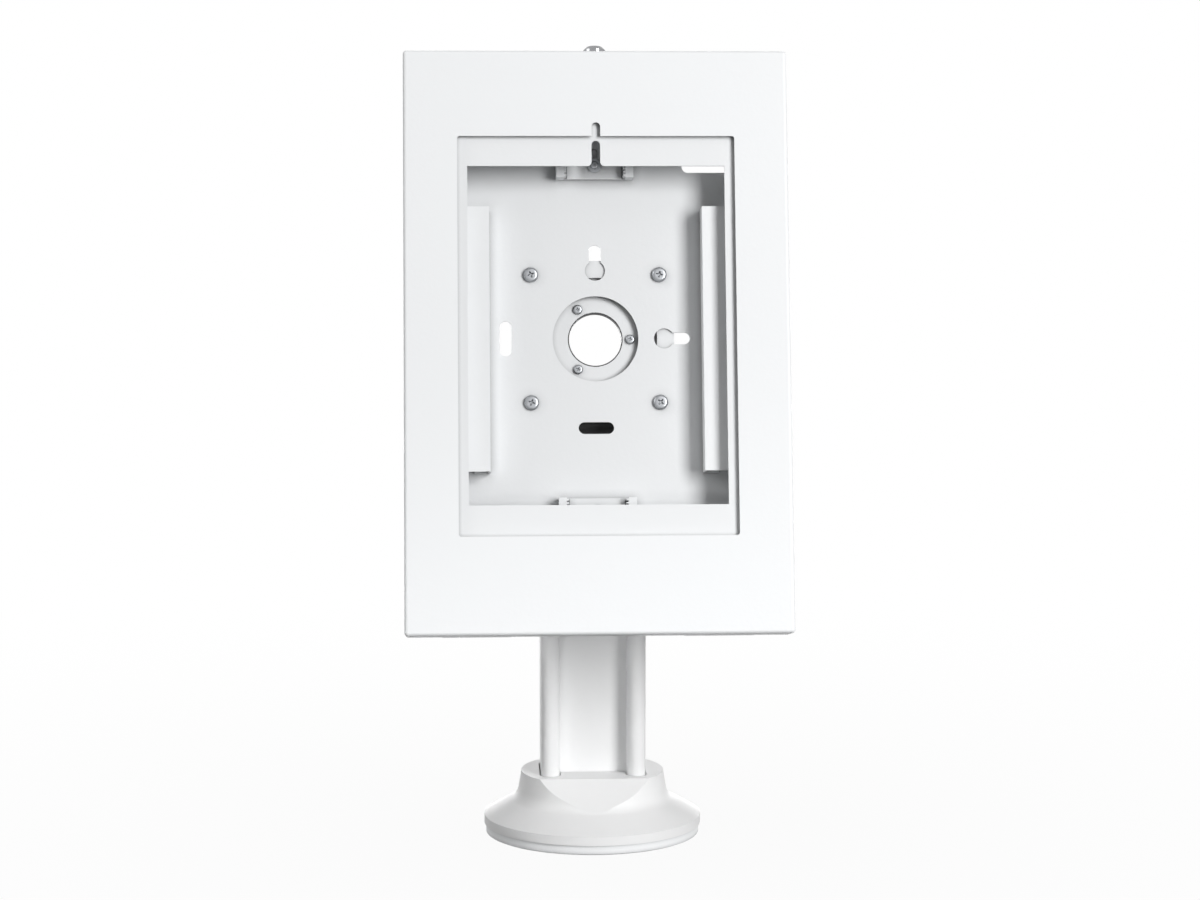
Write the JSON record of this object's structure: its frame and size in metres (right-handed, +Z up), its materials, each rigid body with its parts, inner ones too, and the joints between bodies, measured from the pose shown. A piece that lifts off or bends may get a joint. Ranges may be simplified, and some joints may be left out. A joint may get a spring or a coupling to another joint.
{
  "type": "tablet security kiosk stand",
  "caption": "Countertop tablet security stand: round flared foot, H-profile column and a tilting, turning steel enclosure with a hinged front cover and a cam lock.",
  "frame": {"origin": "middle of the foot's underside, on the counter", "axes": "+Z up, the enclosure's face looks towards -Y, +X to the right seen from the front"},
  "size_m": [0.222, 0.1708, 0.4716],
  "materials": {
    "powder_coat": "satin powder coat",
    "foot_plastic": "matt",
    "column_paint": "satin powder coat",
    "dark_metal": "matt",
    "zinc": "zinc plated",
    "chrome": "polished",
    "foam": "matt",
    "pale_rubber": "matt",
    "white_polymer": "matt"
  },
  "bodies": {
    "base": {"base_pad": "pale_rubber", "base_plate": "powder_coat", "column": "column_paint", "column_screws": "zinc", "column_cap": "foot_plastic", "cable_cover": "foot_plastic", "hinge_block": "dark_metal", "hinge_block_screws": "zinc", "tilt_axle": "zinc", "axle_washers": "zinc", "axle_nut": "zinc"},
    "foot_cover": {"base_cover": "foot_plastic"},
    "tilt_head": {"tilt_bracket": "powder_coat", "hub_washers": "white_polymer"},
    "enclosure": {"hub_sleeve": "zinc", "hub_lock_ring": "zinc", "vesa_plate": "powder_coat", "hub_screws": "zinc", "vesa_screws": "zinc", "rear_case": "powder_coat", "side_support_left": "powder_coat", "side_support_right": "powder_coat", "support_rivets": "zinc", "top_track": "powder_coat", "bottom_track": "powder_coat", "track_screws": "zinc", "hinge_leaves": "powder_coat"},
    "cover": {"front_cover": "powder_coat", "cover_hinge_pins": "zinc", "inner_frame": "powder_coat", "frame_spacers": "foot_plastic", "frame_nuts": "zinc", "lock_barrel": "chrome", "lock_nut": "zinc"},
    "lock": {"lock_plug": "chrome", "lock_cam": "zinc", "cam_screw": "zinc"},
    "top_stop": {"top_slider": "powder_coat", "top_pad": "foam"},
    "bottom_stop": {"bottom_slider": "powder_coat", "bottom_pad": "foam"}
  },
  "joints": [
    {"name": "head_tilt", "type": "hinge", "parent": "base", "child": "tilt_head", "pos_m": [0, -0.0298, 0.2502], "axis": [-1, 0, 0], "range_deg": [-11.5, 33.5]},
    {"name": "enclosure_turn", "type": "hinge", "parent": "tilt_head", "child": "enclosure", "pos_m": [0, -0.03297, 0.29983], "axis": [0, -0.9799, 0.1994], "range_deg": [-90, 90]},
    {"name": "cover_open", "type": "hinge", "parent": "enclosure", "child": "cover", "pos_m": [0, -0.07313, 0.13452], "axis": [1, 0, 0], "range_deg": [0, 90]},
    {"name": "lock_turn", "type": "hinge", "parent": "cover", "child": "lock", "pos_m": [0, -0.02765, 0.46641], "axis": [0, -0.1994, -0.9799], "range_deg": [0, 90]},
    {"name": "top_stop_slide", "type": "slide", "parent": "enclosure", "child": "top_stop", "axis": [0, 0.1994, 0.9799], "range_m": [-0.008, 0.002]},
    {"name": "bottom_stop_slide", "type": "slide", "parent": "enclosure", "child": "bottom_stop", "axis": [0, -0.1994, -0.9799], "range_m": [-0.008, 0.002]},
    {"name": "foot_cover_lift", "type": "slide", "parent": "base", "child": "foot_cover", "axis": [0, 0, 1], "range_m": [0, 0.05]}
  ]
}
